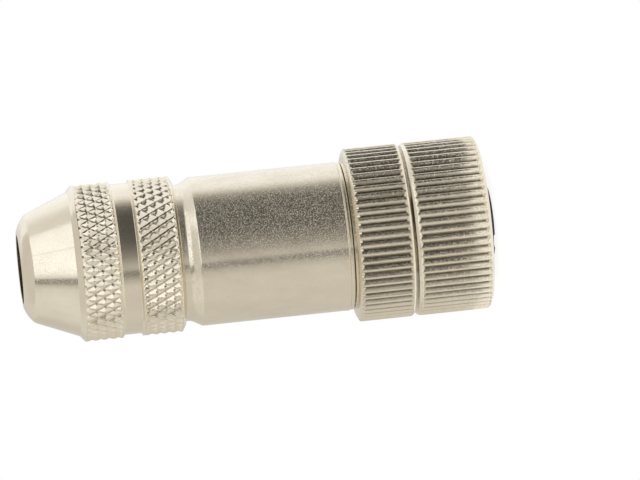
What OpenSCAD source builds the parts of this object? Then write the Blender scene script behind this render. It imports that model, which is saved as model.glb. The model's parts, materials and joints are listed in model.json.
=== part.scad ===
// Straight shielded female M12 circular connector with screw-clamp terminals.
// The mating face lies at z = 0 and the cable leaves at the top. Millimetres.

/* [Coupling nut] */
// Nominal diameter of the coupling thread
thread_d = 12; // [11:0.5:14]
// Pitch of the coupling thread
thread_pitch = 1; // [0.75:0.25:1.25]
// Length of the coupling nut
coupling_nut_len = 8.75; // [8:0.25:12]
// Thickness of the flange that the nut turns on
flange_t = 0.8; // [0.6:0.1:1.4]

/* [Contact head] */
// How far the contact insert stands out of the coupling nut
insert_lead = 0.85; // [0.4:0.05:1.5]
// Length of the knurled head ring
head_ring_len = 6.8; // [5:0.2:10]
// Wall of the neck that carries the coupling nut
neck_wall = 0.6; // [0.5:0.05:0.7]
// How far the retaining ring stands out of the neck
clip_proud = 0.35; // [0.2:0.05:0.5]
// Section of the seal at the foot of the insert
face_seal_t = 1; // [0.8:0.1:1.2]
// Section of the seal between the head and the sleeve
body_seal_t = 0.9; // [0.7:0.1:1]

/* [Contacts] */
// Plastic left outside each contact hole
contact_wall = 0.7; // [0.5:0.1:0.9]
// Outside diameter of the socket that takes the mating pin
socket_d = 1.9; // [1.7:0.1:2.1]
// Diameter of the mating pin
pin_d = 1; // [0.8:0.1:1.1]
// Plastic left between two clamp blocks
clamp_web = 0.44; // [0.3:0.02:0.6]
// Largest wire that a clamp block takes
wire_d = 1.8; // [1.2:0.1:2]
// Thread of the terminal screws
screw_d = 2; // [1.6:0.1:2.2]
// Head of the terminal screws
screw_head_d = 2.4; // [2.2:0.1:2.8]
// Width of the keyway in the insert
key_w = 2; // [1.2:0.1:2.2]
// Depth of the keyway in the insert
key_depth = 1.1; // [0.6:0.1:1.2]

/* [Sleeve] */
// Outside diameter of the sleeve
sleeve_d = 17.16; // [16:0.1:18]
// Length of the plain part of the sleeve
sleeve_len = 17.5; // [15:0.5:30]
// Wall of the sleeve round the terminals
sleeve_wall = 1.18; // [1:0.02:1.3]
// Drop from the sleeve to its rear neck
neck_drop = 0.7; // [0.4:0.05:0.9]

/* [Cable gland] */
// Largest cable that the gland takes
cable_d = 8; // [6:0.5:8.4]
// Wall of the pressure nut outside its thread
gland_wall = 1.5; // [1.2:0.05:2.5]
// Length of the front diamond-knurled band
front_band_len = 4.3; // [3.5:0.1:6]
// Length of the rear diamond-knurled band
rear_band_len = 3.9; // [3.5:0.1:6]
// Width of the plain groove between the bands
groove_len = 1.6; // [1:0.1:3]
// Length of the rear cone
cone_len = 5.1; // [4.5:0.1:8]
// Length of the rounded nose
nose_len = 1.25; // [1:0.05:2]
// Length of the cable seal
seal_len = 6.7; // [5:0.1:7.2]
// Number of fingers on the clamp cage
finger_count = 8; // [6:1:10]

/* [Grip] */
// Outside diameter of the coupling nut and of the head ring behind it
grip_ring_d = 20; // [19:0.5:24]
// Teeth round each straight knurl
tooth_count = 63; // [48:1:72]
// Depth of the straight knurls
tooth_depth = 0.4; // [0.2:0.05:0.5]
// Grooves each way round each diamond knurl
diamond_count = 49; // [40:1:56]
// Depth of the diamond knurls
diamond_depth = 0.36; // [0.2:0.02:0.45]

/* [Hidden] */
$fn = 96;

// Clearances: of a fixed fit, of a turning fit, of an end play, and of a cut past a face
fit = 0.05;
turn_gap = 0.07;
play = 0.1;
past = 1;

// A thread is left plain at its pitch radius, less or plus the slack
thread_slack = 0.05;
function minor_r(major_r, pitch) = major_r - 0.54 * pitch;
function pitch_r(major_r, pitch) = major_r - 0.325 * pitch;
body_pitch = 1;

// Radii from the coupling thread inwards
thread_r = thread_d / 2;
grip_ring_r = grip_ring_d / 2;
nut_thread_r = minor_r(thread_r, thread_pitch);
nut_relief_r = thread_r + 2 * fit;
clip_pass = 0.06;
clip_r = nut_thread_r - clip_pass;
neck_r = clip_r - clip_proud;
flange_r = neck_r + turn_gap;
clip_sunk = 0.22;
clip_groove_r = neck_r - clip_sunk - fit;
neck_bore_r = neck_r - neck_wall;
insert_base_r = neck_bore_r - fit;
insert_step = 0.2;
insert_r = insert_base_r - insert_step;

// The contacts stand round the axis, at 45 degrees to the keyway
contact_angles = [45, 135, 225, 315];
socket_r = socket_d / 2;
contact_r = insert_r - contact_wall - socket_r - fit;
clamp_r = contact_r * sin(45) - clamp_web / 2 - fit;
wire_r = wire_d / 2;
screw_r = screw_d / 2;
screw_head_r = screw_head_d / 2;

// Radii from the sleeve inwards
sleeve_r = sleeve_d / 2;
chamber_r = sleeve_r - sleeve_wall;
thread_relief = 0.2;
body_thread_r = pitch_r(chamber_r - thread_relief, body_pitch);
spigot_r = body_thread_r - thread_slack;
spigot_wall = 0.775;
block_bore_r = spigot_r - spigot_wall;
block_r = block_bore_r - fit;
sleeve_neck_r = sleeve_r - neck_drop;
tail_step = 0.43;
tail_thread_r = pitch_r(sleeve_neck_r - tail_step, body_pitch);
tail_r = tail_thread_r - thread_slack;
tail_wall = 1.075;
grip_bore_r = tail_r - tail_wall;
grip_r = grip_bore_r - play;

// Radii of the gland
cable_r = cable_d / 2;
lip_r = cable_r + 0.5;
gland_r = sleeve_neck_r - tail_step + fit + gland_wall;
groove_depth = 0.31;
groove_r = gland_r - groove_depth;
knurl_root_r = gland_r - diamond_depth;
band_lap = 0.1;
knurl_core_r = knurl_root_r - band_lap;
knurl_inner_r = knurl_core_r - 2 * band_lap;
cone_step = 0.65;
cone_front_r = gland_r - cone_step;
cone_drop = 2.13;
cone_rear_r = cone_front_r - cone_drop;
nose_rim = 0.45;
nose_r = cable_r + nose_rim;

// Heights of the mating end, from the mating face
nut_z = insert_lead;
nut_end_z = nut_z + coupling_nut_len;
flange_z = nut_end_z - flange_t;
clip_t = 0.55;
clip_z = flange_z - play - clip_t;
neck_lead = 0.4;
neck_z = clip_z - neck_lead;
insert_base_z = neck_z - face_seal_t - play;
nut_thread_end_z = insert_base_z - neck_lead;
ring_gap = 0.3;
ring_z = nut_end_z + ring_gap;
ring_end_z = ring_z + head_ring_len;
neck_floor = 1.6;
block_z = ring_z + neck_floor;
key_stop = 0.6;
key_end_z = insert_base_z - key_stop;
socket_z = 0.6;
socket_depth = 6.4;
clamp_floor = 2.5;
clamp_z = block_z + clamp_floor;

// Heights of the sleeve and of what it holds
sleeve_z = ring_end_z + play;
sleeve_bevel = 1.1;
sleeve_neck_len = 0.9;
sleeve_neck_z = sleeve_z + sleeve_len + sleeve_bevel;
gland_z = sleeve_neck_z + sleeve_neck_len;
lip_t = 1;
lip_inset = 3;
lip_z = gland_z - lip_inset;
shield_ring_t = 1.6;
shield_ring_z = lip_z - play - shield_ring_t;
wiring_room = 2.4;
block_end_z = shield_ring_z - wiring_room;
clamp_sunk = 0.3;
clamp_end_z = block_end_z - clamp_sunk;
screw_inset = 3.7;
screw_z = block_end_z - screw_inset;
screw_reach = 3.5;
spigot_end_z = screw_z - screw_reach;
body_seal_r = spigot_r + fit + body_seal_t / 2;
body_seal_z = sleeve_z + play + body_seal_t / 2;
counterbore_r = body_seal_r + body_seal_t / 2 + fit;
counterbore_len = 1.5;
counterbore_end_z = sleeve_z + counterbore_len;
thread_spare = 0.6;
sleeve_thread_end_z = spigot_end_z + thread_spare;
tail_len = 7.2;
tail_end_z = gland_z + tail_len;

// Heights of the gland
bevel_len = 0.6;
gland_lead = 0.5;
front_band_z = gland_z + gland_lead;
front_band_end_z = front_band_z + front_band_len;
groove_z = front_band_end_z + bevel_len;
groove_end_z = groove_z + groove_len;
rear_band_z = groove_end_z + bevel_len;
rear_band_end_z = rear_band_z + rear_band_len;
cone_z = rear_band_end_z + bevel_len;
cone_end_z = cone_z + cone_len;
gland_end_z = cone_end_z + nose_len;
seat_inset = 0.2;
gland_seat_z = cone_z + seat_inset;
washer_t = 0.7;
washer_z = gland_seat_z - play - washer_t;
seal_z = lip_z + lip_t + play;
seal_end_z = seal_z + seal_len;
cage_z = seal_end_z + play;
cage_end_z = washer_z - play;
cage_base_t = 1.8;

// A round piece, from its half outline as [radius, height] points
module turned(outline) {
    rotate_extrude() polygon(outline);
}

// A tube between two heights
module tube(outer_r, inner_r, z, end_z) {
    difference() {
        translate([0, 0, z]) cylinder(r = outer_r, h = end_z - z);
        translate([0, 0, z - past]) cylinder(r = inner_r, h = end_z - z + 2 * past);
    }
}

// An O-ring whose section has its middle at radius r
module o_ring(r, section, z) {
    translate([0, 0, z]) rotate_extrude() translate([r, 0]) circle(d = section, $fn = 32);
}

// A V-grooved round, whose crests reach past r so that a turned blank can cut them true
module toothed_round(r, z, end_z) {
    step = 360 / tooth_count;
    crest_part = 0.2;
    over = 0.1;
    half_groove = step * (1 - crest_part) / 2 * (tooth_depth + over) / tooth_depth;
    translate([0, 0, z]) linear_extrude(end_z - z) polygon([
        for (i = [0 : tooth_count - 1])
            let (a = i * step)
            each [
                (r + over) * [cos(a - half_groove), sin(a - half_groove)],
                (r - tooth_depth) * [cos(a), sin(a)],
                (r + over) * [cos(a + half_groove), sin(a + half_groove)]
            ]
    ]);
}

// A ring with a raised diamond knurl, as one closed surface. Grooves cross at the corners of the
// cells, and each cell rises to a small flat: left, near, right and far corners, in that order.
module diamond_band(z, end_z) {
    n = diamond_count;
    rows = 4;
    step = 360 / n;
    row_h = (end_z - z) / rows;
    flat_part = 0.28;
    end_share = 0.4;
    function at(r, turn, h) = [r * cos(turn * step), r * sin(turn * step), h];
    function cross(i, j) = j * n + (i + n) % n;
    function top(i, j, k) = (rows + 1) * n + 4 * (j * n + i) + k;
    function inner(i, far) = 5 * (rows + 1) * n + (far ? n : 0) + (i + n) % n;
    function height(j, side) = min(max(z + (j + side * flat_part) * row_h, z), end_z);
    points = [
        for (j = [0 : rows], i = [0 : n - 1]) at(knurl_root_r, i + (j % 2) / 2, z + j * row_h),
        for (j = [0 : rows], i = [0 : n - 1])
            let (
                middle = i + (j % 2) / 2 + 0.5,
                r = j == 0 || j == rows ? knurl_root_r + end_share * diamond_depth : gland_r
            )
            each [
                at(r, middle - flat_part / 2, height(j, 0)),
                at(r, middle, height(j, -1)),
                at(r, middle + flat_part / 2, height(j, 0)),
                at(r, middle, height(j, 1))
            ],
        for (far = [z, end_z], i = [0 : n - 1]) at(knurl_inner_r, i, far)
    ];
    faces = [
        for (j = [0 : rows], i = [0 : n - 1])
            let (peak = i + j % 2, l = top(i, j, 0), d = top(i, j, 1), r = top(i, j, 2), u = top(i, j, 3))
            each [
                if (j > 0) each [
                    [cross(i, j), l, d, cross(peak, j - 1)],
                    [cross(peak, j - 1), d, r, cross(i + 1, j)]
                ],
                if (j < rows) each [
                    [cross(i + 1, j), r, u, cross(peak, j + 1)],
                    [cross(peak, j + 1), u, l, cross(i, j)]
                ],
                [l, u, d],
                [d, u, r]
            ],
        for (i = [0 : n - 1]) each [
            [inner(i, false), cross(i, 0), top(i, 0, 0), top(i, 0, 1), top(i, 0, 2),
                cross(i + 1, 0), inner(i + 1, false)],
            [inner(i + 1, true), cross(i + 1, rows), top(i, rows, 2), top(i, rows, 3),
                top(i, rows, 0), cross(i, rows), inner(i, true)],
            [inner(i, false), inner(i + 1, false), inner(i + 1, true), inner(i, true)]
        ]
    ];
    polyhedron(points, faces, convexity = 6);
}

// Coupling nut: knurled outside, threaded inside, with a flange that turns on the head's neck
module coupling_nut() {
    face_bevel = 0.6;
    face_drop = 0.85;
    rear_bevel = 0.7;
    rear_drop = 0.6;
    mouth_bevel = 0.5;
    color("silver") difference() {
        intersection() {
            turned([
                [0, nut_z],
                [grip_ring_r - face_drop, nut_z],
                [grip_ring_r, nut_z + face_bevel],
                [grip_ring_r, nut_end_z - rear_bevel],
                [grip_ring_r - rear_drop, nut_end_z],
                [0, nut_end_z]
            ]);
            toothed_round(grip_ring_r, nut_z - past, nut_end_z + past);
        }
        turned([
            [0, nut_z - past],
            [nut_thread_r + mouth_bevel + past, nut_z - past],
            [nut_thread_r, nut_z + mouth_bevel],
            [nut_thread_r, nut_thread_end_z],
            [nut_relief_r, nut_thread_end_z + nut_relief_r - nut_thread_r],
            [nut_relief_r, flange_z],
            [0, flange_z]
        ]);
        translate([0, 0, flange_z - past]) cylinder(r = flange_r, h = flange_t + 2 * past);
    }
}

// Spring clip in the neck's groove, open over a part of its turn
module retaining_ring() {
    opening = 50;
    reach = 2 * clip_r;
    color("dimgray") difference() {
        tube(clip_r, neck_r - clip_sunk, clip_z, clip_z + clip_t);
        translate([0, 0, clip_z - past]) linear_extrude(clip_t + 2 * past) polygon([
            [0, 0],
            reach * [cos(90 - opening / 2), sin(90 - opening / 2)],
            reach * [cos(90 + opening / 2), sin(90 + opening / 2)]
        ]);
    }
}

// Head ring: neck with the clip's groove, knurled grip and the threaded spigot for the sleeve
module head_ring() {
    front_bevel = 0.5;
    rear_round = 0.9;
    rear_drop = 1.2;
    arc_steps = 5;
    color("silver") difference() {
        union() {
            turned([
                [0, neck_z],
                [neck_r - fit, neck_z],
                [neck_r, neck_z + fit],
                [neck_r, clip_z - fit],
                [clip_groove_r, clip_z - fit],
                [clip_groove_r, clip_z + clip_t + fit],
                [neck_r, clip_z + clip_t + fit],
                [neck_r, ring_z + past],
                [0, ring_z + past]
            ]);
            intersection() {
                turned([
                    [0, ring_z],
                    [grip_ring_r - front_bevel, ring_z],
                    [grip_ring_r, ring_z + front_bevel],
                    for (i = [0 : arc_steps])
                        let (a = 90 * i / arc_steps)
                        [
                            grip_ring_r - rear_drop * (1 - cos(a)),
                            ring_end_z - rear_round * (1 - sin(a))
                        ],
                    [0, ring_end_z]
                ]);
                toothed_round(grip_ring_r, ring_z - past, ring_end_z + past);
            }
            turned([
                [0, ring_end_z - past],
                [spigot_r, ring_end_z - past],
                [spigot_r, spigot_end_z - body_pitch / 2],
                [spigot_r - body_pitch / 2, spigot_end_z],
                [0, spigot_end_z]
            ]);
        }
        translate([0, 0, neck_z - past]) cylinder(r = neck_bore_r, h = block_z - neck_z + 2 * past);
        translate([0, 0, block_z - play]) cylinder(r = block_bore_r, h = spigot_end_z - block_z + past);
    }
}

// Everything that repeats at the four contacts, on one of them and turned to its place
module at_contact(number) {
    rotate([0, 0, contact_angles[number - 1]]) translate([contact_r, 0, 0]) children();
}

// Insulating carrier: the mating insert with its keyway, and the terminal block behind it
module contact_carrier() {
    face_bevel = 0.15;
    entry_r = pin_d / 2 + 0.12;
    entry_bevel = 0.3;
    end_bevel = 0.4;
    color("darkslategray") difference() {
        turned([
            [0, 0],
            [insert_r - face_bevel, 0],
            [insert_r, face_bevel],
            [insert_r, insert_base_z],
            [insert_base_r, insert_base_z],
            [insert_base_r, block_z],
            [block_r, block_z],
            [block_r, block_end_z - end_bevel],
            [block_r - end_bevel, block_end_z],
            [0, block_end_z]
        ]);
        translate([-key_w / 2, -insert_r - past, -past]) cube([key_w, key_depth + past, key_end_z + past]);
        for (number = [1 : 4]) at_contact(number) {
            turned([
                [0, -past],
                [entry_r + entry_bevel + past, -past],
                [entry_r, entry_bevel],
                [entry_r, socket_z],
                [socket_r + fit, socket_z - fit],
                [socket_r + fit, clamp_z],
                [0, clamp_z]
            ]);
            translate([0, 0, clamp_z - fit]) cylinder(r = clamp_r + fit, h = block_end_z - clamp_z + past);
            translate([0, 0, screw_z]) rotate([0, 90, 0])
                cylinder(r = screw_head_r + play, h = block_r, $fn = 48);
        }
    }
}

// Seal at the foot of the insert
module face_seal() {
    r = insert_base_r + fit + face_seal_t / 2;
    color("black") o_ring(r, face_seal_t, insert_base_z + (face_seal_t + play) / 2);
}

// Seal between the head and the sleeve
module body_o_ring() {
    color("black") o_ring(body_seal_r, body_seal_t, body_seal_z);
}

// Turned contact: a slotted socket in front, and a clamp block with a wire hole behind
module socket_contact(number) {
    slot_w = 0.25;
    slot_part = 0.7;
    wire_reach = 6;
    wire_z = screw_z - wire_reach;
    color("gold") at_contact(number) difference() {
        turned([
            [0, socket_z],
            [socket_r - play, socket_z],
            [socket_r, socket_z + play],
            [socket_r, clamp_z],
            [clamp_r, clamp_z],
            [clamp_r, clamp_end_z],
            [0, clamp_end_z]
        ]);
        translate([0, 0, socket_z - past]) cylinder(r = pin_d / 2 + fit, h = socket_depth + past, $fn = 48);
        for (turn = [0, 90]) rotate([0, 0, turn])
            translate([-slot_w / 2, -socket_d / 2 - past, socket_z - past])
                cube([slot_w, socket_d + 2 * past, slot_part * socket_depth + past]);
        translate([0, 0, wire_z]) cylinder(r = wire_r, h = clamp_end_z - wire_z + past, $fn = 48);
        translate([0, 0, screw_z]) rotate([0, 90, 0]) cylinder(r = screw_r, h = clamp_r + past, $fn = 48);
    }
}

// Slotted clamp screw, radial, with its tip in the wire hole
module terminal_screw(number) {
    head_h = 0.9;
    slot_w = 0.4;
    slot_depth = 0.45;
    sunk = 0.15;
    outer_x = block_r - contact_r - sunk;
    tip_x = wire_r / 2;
    color("lightgray") at_contact(number) translate([0, 0, screw_z]) rotate([0, 90, 0]) difference() {
        turned([
            [0, tip_x],
            [screw_r - 3 * fit, tip_x],
            [screw_r - fit, tip_x + 2 * fit],
            [screw_r - fit, outer_x - head_h],
            [screw_head_r, outer_x - head_h],
            [screw_head_r, outer_x],
            [0, outer_x]
        ]);
        translate([-screw_head_d, -slot_w / 2, outer_x - slot_depth])
            cube([2 * screw_head_d, slot_w, slot_depth + past]);
    }
}

// Sleeve: threaded on the head in front, with a lip for the seal and a threaded tail behind
module sleeve() {
    edge = 0.15;
    color("silver") difference() {
        turned([
            [0, sleeve_z],
            [sleeve_r - edge, sleeve_z],
            [sleeve_r, sleeve_z + edge],
            [sleeve_r, sleeve_z + sleeve_len],
            [sleeve_neck_r, sleeve_neck_z],
            [sleeve_neck_r, gland_z - play],
            [tail_r, gland_z - play],
            [tail_r, tail_end_z - body_pitch / 2],
            [tail_r - body_pitch / 2, tail_end_z],
            [0, tail_end_z]
        ]);
        translate([0, 0, sleeve_z - past]) cylinder(r = counterbore_r, h = counterbore_end_z - sleeve_z + past);
        translate([0, 0, sleeve_z]) cylinder(r = body_thread_r + thread_slack, h = sleeve_thread_end_z - sleeve_z);
        translate([0, 0, sleeve_thread_end_z - fit]) cylinder(r = chamber_r, h = lip_z - sleeve_thread_end_z + fit);
        translate([0, 0, sleeve_z]) cylinder(r = lip_r, h = tail_end_z - sleeve_z);
        translate([0, 0, lip_z + lip_t]) cylinder(r = grip_bore_r, h = tail_end_z - lip_z);
    }
}

// Ring that presses the cable's braid against the lip, with a cone for the braid to lie on
module shield_ring() {
    braid_cone = 1;
    rim = 0.4;
    color("silver") turned([
        [lip_r, shield_ring_z + rim],
        [lip_r + braid_cone, shield_ring_z],
        [chamber_r - play - rim, shield_ring_z],
        [chamber_r - play, shield_ring_z + rim],
        [chamber_r - play, lip_z - play],
        [lip_r, lip_z - play]
    ]);
}

// Rubber bush with three beads round the cable
module cable_seal() {
    bead_r = 0.25;
    body_r = cable_r + bead_r;
    rear_bevel = 0.9;
    color("black") union() {
        turned([
            [body_r, seal_z],
            [grip_r - bead_r, seal_z],
            [grip_r, seal_z + bead_r],
            [grip_r, seal_end_z - rear_bevel],
            [grip_r - rear_bevel, seal_end_z],
            [body_r, seal_end_z]
        ]);
        for (i = [1 : 3])
            translate([0, 0, seal_z + i * seal_len / 4]) rotate_extrude()
                translate([body_r, 0]) circle(r = bead_r, $fn = 24);
    }
}

// Clamp cage: a ring in the sleeve's tail with fingers that reach back to the washer
module clamp_cage() {
    slot_w = 0.9;
    cage_r = cable_r + 2 * play;
    finger_r = grip_r - 3 * play;
    tip_bevel = 0.5;
    color("darkolivegreen") difference() {
        turned([
            [cage_r, cage_z],
            [grip_r, cage_z],
            [grip_r, cage_z + cage_base_t],
            [finger_r, cage_z + cage_base_t],
            [finger_r, cage_end_z - tip_bevel],
            [finger_r - tip_bevel, cage_end_z],
            [cage_r, cage_end_z]
        ]);
        for (i = [0 : finger_count - 1]) rotate([0, 0, (i + 0.5) * 360 / finger_count])
            translate([0, -slot_w / 2, cage_z + cage_base_t]) cube([grip_r + past, slot_w, cage_end_z]);
    }
}

// Washer between the cage's fingers and the pressure nut
module thrust_washer() {
    color("silver") tube(tail_r - 3 * play, cable_r + 2.5 * play, washer_z, washer_z + washer_t);
}

// Pressure nut: two diamond-knurled bands, a groove and a cone, threaded on the sleeve's tail
module pressure_nut() {
    seat_r = tail_r - 2 * play;
    mouth_bevel = 0.5;
    end_room = 0.7;
    thread_bore_r = tail_thread_r + thread_slack;
    nose_steps = 4;
    color("silver") difference() {
        union() {
            turned([
                [0, gland_z],
                [sleeve_neck_r + play, gland_z],
                [knurl_core_r, front_band_z - band_lap],
                [knurl_core_r, front_band_end_z + band_lap],
                [groove_r, groove_z],
                [groove_r, groove_end_z],
                [knurl_core_r, rear_band_z - band_lap],
                [knurl_core_r, rear_band_end_z + band_lap],
                [cone_front_r, cone_z],
                [cone_rear_r, cone_end_z],
                for (i = [1 : nose_steps])
                    let (a = 90 * i / nose_steps)
                    [
                        nose_r + (cone_rear_r - nose_r) * cos(a),
                        cone_end_z + nose_len * sin(a)
                    ],
                [0, gland_end_z]
            ]);
            diamond_band(front_band_z, front_band_end_z);
            diamond_band(rear_band_z, rear_band_end_z);
        }
        turned([
            [0, gland_z - past],
            [thread_bore_r + mouth_bevel + past, gland_z - past],
            [thread_bore_r, gland_z + mouth_bevel],
            [thread_bore_r, tail_end_z + end_room],
            [seat_r, tail_end_z + end_room],
            [seat_r, gland_seat_z],
            [grip_bore_r, gland_seat_z],
            [cable_r, cone_end_z - bevel_len],
            [0, cone_end_z - bevel_len]
        ]);
        translate([0, 0, cone_end_z - past]) cylinder(r = cable_r, h = nose_len + 2 * past);
    }
}

coupling_nut();
retaining_ring();
head_ring();
contact_carrier();
face_seal();
body_o_ring();
socket_contact(1);  // socket_contact_1
socket_contact(2);  // socket_contact_2
socket_contact(3);  // socket_contact_3
socket_contact(4);  // socket_contact_4
terminal_screw(1);  // terminal_screw_1
terminal_screw(2);  // terminal_screw_2
terminal_screw(3);  // terminal_screw_3
terminal_screw(4);  // terminal_screw_4
sleeve();
shield_ring();
cable_seal();
clamp_cage();
thrust_washer();
pressure_nut();
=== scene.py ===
"""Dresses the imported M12 connector: turned and knurled shells, threads, finishes, studio and camera.

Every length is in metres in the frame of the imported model: +Z runs from the mating face to the cable
end and the axis passes through the origin. A piece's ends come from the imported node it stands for.
"""

import json
import logging
import math
from dataclasses import dataclass
from enum import Enum
from typing import Sequence

import bpy
import numpy as np
from mathutils import Matrix, Vector


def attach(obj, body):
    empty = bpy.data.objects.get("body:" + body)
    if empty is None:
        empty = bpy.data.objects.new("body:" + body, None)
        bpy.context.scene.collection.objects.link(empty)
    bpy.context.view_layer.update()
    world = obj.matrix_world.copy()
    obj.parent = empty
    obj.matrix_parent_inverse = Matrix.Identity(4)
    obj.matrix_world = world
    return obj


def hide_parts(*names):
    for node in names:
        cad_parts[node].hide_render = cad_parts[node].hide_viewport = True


log = logging.getLogger("m12_connector")
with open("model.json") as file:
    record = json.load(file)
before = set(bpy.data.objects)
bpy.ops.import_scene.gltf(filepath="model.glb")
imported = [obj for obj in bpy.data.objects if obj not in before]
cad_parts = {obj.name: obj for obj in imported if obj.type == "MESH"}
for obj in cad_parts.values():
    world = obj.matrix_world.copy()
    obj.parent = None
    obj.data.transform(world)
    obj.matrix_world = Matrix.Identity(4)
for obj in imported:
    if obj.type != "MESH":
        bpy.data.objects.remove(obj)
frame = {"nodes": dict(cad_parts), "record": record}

MM = 0.001
TURN = 2 * math.pi

Corner = tuple[float, float, float]
Colour = tuple[float, float, float]
Mesh = bpy.types.Mesh
Socket = bpy.types.NodeSocket
Source = Socket | float | Sequence[float]


class Body(Enum):
    """The moving bodies that dressed pieces ride on."""

    HEAD = "contact_head"
    NUT = "coupling_nut"
    SLEEVE = "sleeve"
    GLAND = "pressure_nut"


@dataclass(frozen=True)
class Reach:
    """How far a round node goes: its two ends and its widest radius."""

    low: float
    high: float
    radius: float

    @classmethod
    def of(cls, node: str) -> "Reach":
        """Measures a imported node.

        Args:
            node: The node's name.

        Returns:
            Its reach along and round the axis.
        """
        points = np.array([v.co[:] for v in frame["nodes"][node].data.vertices])
        radius = float(np.hypot(points[:, 0], points[:, 1]).max())
        return cls(float(points[:, 2].min()), float(points[:, 2].max()), radius)


# ---------- meshes ----------


class Lathe:
    """A closed skin of rings round the Z axis.

    The rings run up the outside, over the rear and down the bore, so that every face looks outwards.
    """

    def __init__(self, angles: np.ndarray) -> None:
        """Starts an empty skin.

        Args:
            angles: The angle of each point of a ring, rising from 0 to less than a full turn.
        """
        self.angles = angles
        self.rings: list[np.ndarray] = []
        self.reliefs: list[np.ndarray] = []
        self.diagonals: list[np.ndarray | None] = []

    @classmethod
    def plain(cls, segments: int) -> "Lathe":
        """Returns an empty skin with evenly spaced points."""
        return cls(np.linspace(0, TURN, segments, endpoint=False))

    def ring(
        self,
        radius: float | np.ndarray,
        height: float | np.ndarray,
        relief: float | np.ndarray = 1.0,
        diagonal: np.ndarray | None = None,
    ) -> None:
        """Adds one ring.

        Args:
            radius: Its radius, or the radius at each point.
            height: Its height, or the height at each point.
            relief: How far each point stands out of its grooves, from 0 to 1.
            diagonal: For each face to the next ring, True where its edge rises with the angle.
        """
        flat = np.ones_like(self.angles)
        r = radius * flat
        self.rings.append(np.stack([r * np.cos(self.angles), r * np.sin(self.angles), height * flat], 1))
        self.reliefs.append(relief * flat)
        self.diagonals.append(diagonal)

    def profile(self, corners: Sequence[Corner], steps: int = 4) -> None:
        """Adds plain rings along an outline with rounded corners.

        Args:
            corners: (radius, height, ease) corners, where ease is how far from it the corner's curve starts.
            steps: Straight pieces in each curve.
        """
        for i, (radius, height, ease) in enumerate(corners):
            if ease <= 0 or i in (0, len(corners) - 1):
                self.ring(radius, height)
                continue
            corner = Vector((radius, height))
            before = Vector(corners[i - 1][:2]) - corner
            after = Vector(corners[i + 1][:2]) - corner
            start = corner + before.normalized() * min(ease, before.length * 0.49)
            end = corner + after.normalized() * min(ease, after.length * 0.49)
            for k in range(steps + 1):
                t = k / steps
                p = start * (1 - t) ** 2 + corner * 2 * t * (1 - t) + end * t**2
                self.ring(p.x, p.y)

    def mesh(self, name: str, crease: float = math.radians(30)) -> Mesh:
        """Skins the rings.

        Args:
            name: The mesh's name.
            crease: Edges with a sharper bend than this stay sharp.

        Returns:
            A closed mesh with a point attribute named relief.
        """
        count, around = len(self.rings), len(self.angles)
        here = np.arange(around)
        right = (here + 1) % around
        faces: list[list[int]] = []
        for i in range(count):
            low, high = i * around, (i + 1) % count * around
            a, b, c, d = low + here, low + right, high + right, high + here
            rising = self.diagonals[i]
            if rising is None:
                faces += np.stack([a, b, c, d], 1).tolist()
                continue
            falling = ~rising
            faces += np.stack([a, b, c], 1)[rising].tolist() + np.stack([a, c, d], 1)[rising].tolist()
            faces += np.stack([a, b, d], 1)[falling].tolist() + np.stack([b, c, d], 1)[falling].tolist()
        return skinned(name, np.concatenate(self.rings), faces, np.concatenate(self.reliefs), crease)


def skinned(name: str, points: np.ndarray, faces: list, relief: np.ndarray, crease: float) -> Mesh:
    """Makes a smooth-shaded mesh.

    Args:
        name: The mesh's name.
        points: Its points, one row each.
        faces: Its faces, as lists of point numbers.
        relief: How far each point stands out of its grooves, from 0 to 1.
        crease: Edges with a sharper bend than this stay sharp.

    Returns:
        The mesh, with a point attribute named relief.
    """
    mesh = bpy.data.meshes.new(name)
    mesh.from_pydata(points.tolist(), [], faces)
    mesh.attributes.new("relief", "FLOAT", "POINT").data.foreach_set("value", relief.astype(np.float32))
    mesh.shade_smooth()
    mesh.set_sharp_from_angle(angle=crease)
    return mesh


def placed(name: str, data: bpy.types.ID) -> bpy.types.Object:
    """Puts a new object with the given name and data in the scene."""
    item = bpy.data.objects.new(name, data)
    bpy.context.scene.collection.objects.link(item)
    return item


def strip(rows: int, around: int) -> list[list[int]]:
    """Returns the faces between rows of points, where each row closes on itself."""
    right = [(k + 1) % around for k in range(around)]
    return [
        [i * around + k, i * around + right[k], (i + 1) * around + right[k], (i + 1) * around + k]
        for i in range(rows)
        for k in range(around)
    ]


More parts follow.
